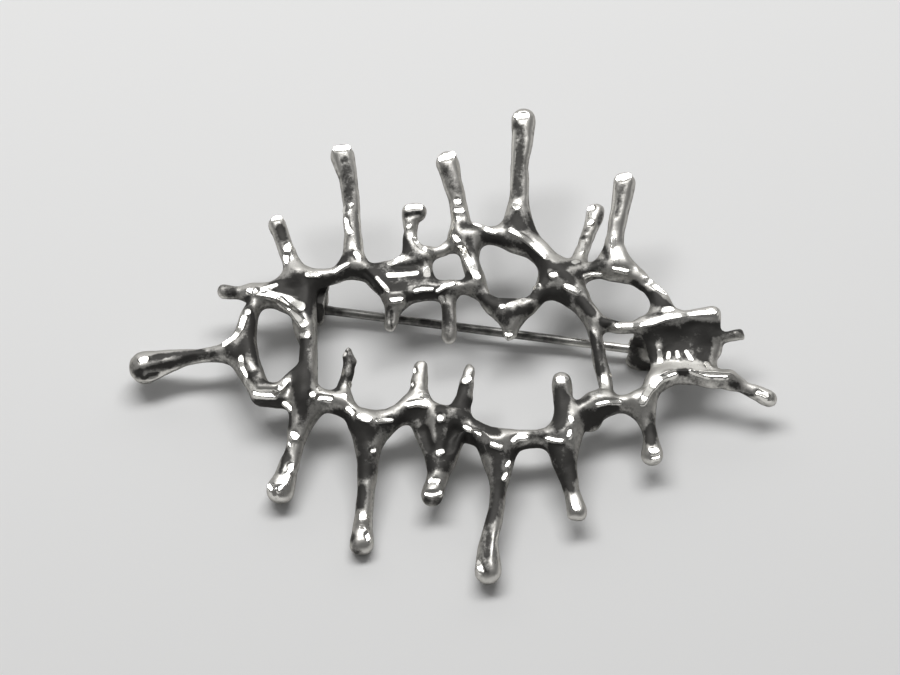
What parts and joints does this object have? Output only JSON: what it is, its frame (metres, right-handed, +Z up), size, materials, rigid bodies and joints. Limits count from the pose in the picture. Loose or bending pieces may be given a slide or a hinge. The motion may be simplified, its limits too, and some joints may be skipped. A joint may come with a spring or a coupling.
{
  "type": "openwork cast brooch",
  "caption": "Openwork cast silver brooch of linked rings and bars with rounded drips all round, lying face up, with a hinged pin stem and a catch under it.",
  "frame": {"origin": "on the surface that the brooch lies on, under the middle of its outline", "axes": "+X along the brooch's length to the wearer's left as it is worn, +Y towards the tall drips, +Z up out of the brooch's face"},
  "size_m": [0.0712, 0.0572, 0.0116],
  "materials": {
    "silver_casting": "cast silver, polished on the high rims and beads, dark oxide in the hollows and on the sides",
    "silver_wire": "drawn silver wire, dull polish with fine lengthways scratches",
    "rivet_wire": "filed silver rivet heads, dull"
  },
  "bodies": {
    "casting": {"cast_frame": "silver_casting", "hinge_rivet": "rivet_wire"},
    "stem": {"pin_stem": "silver_wire"}
  },
  "joints": [
    {"name": "pin_swing", "type": "hinge", "parent": "casting", "child": "stem", "pos_m": [-0.01563, 0.00721, 0.0016], "axis": [0.1542, 0.988, 0], "range_deg": [0, 100]}
  ]
}
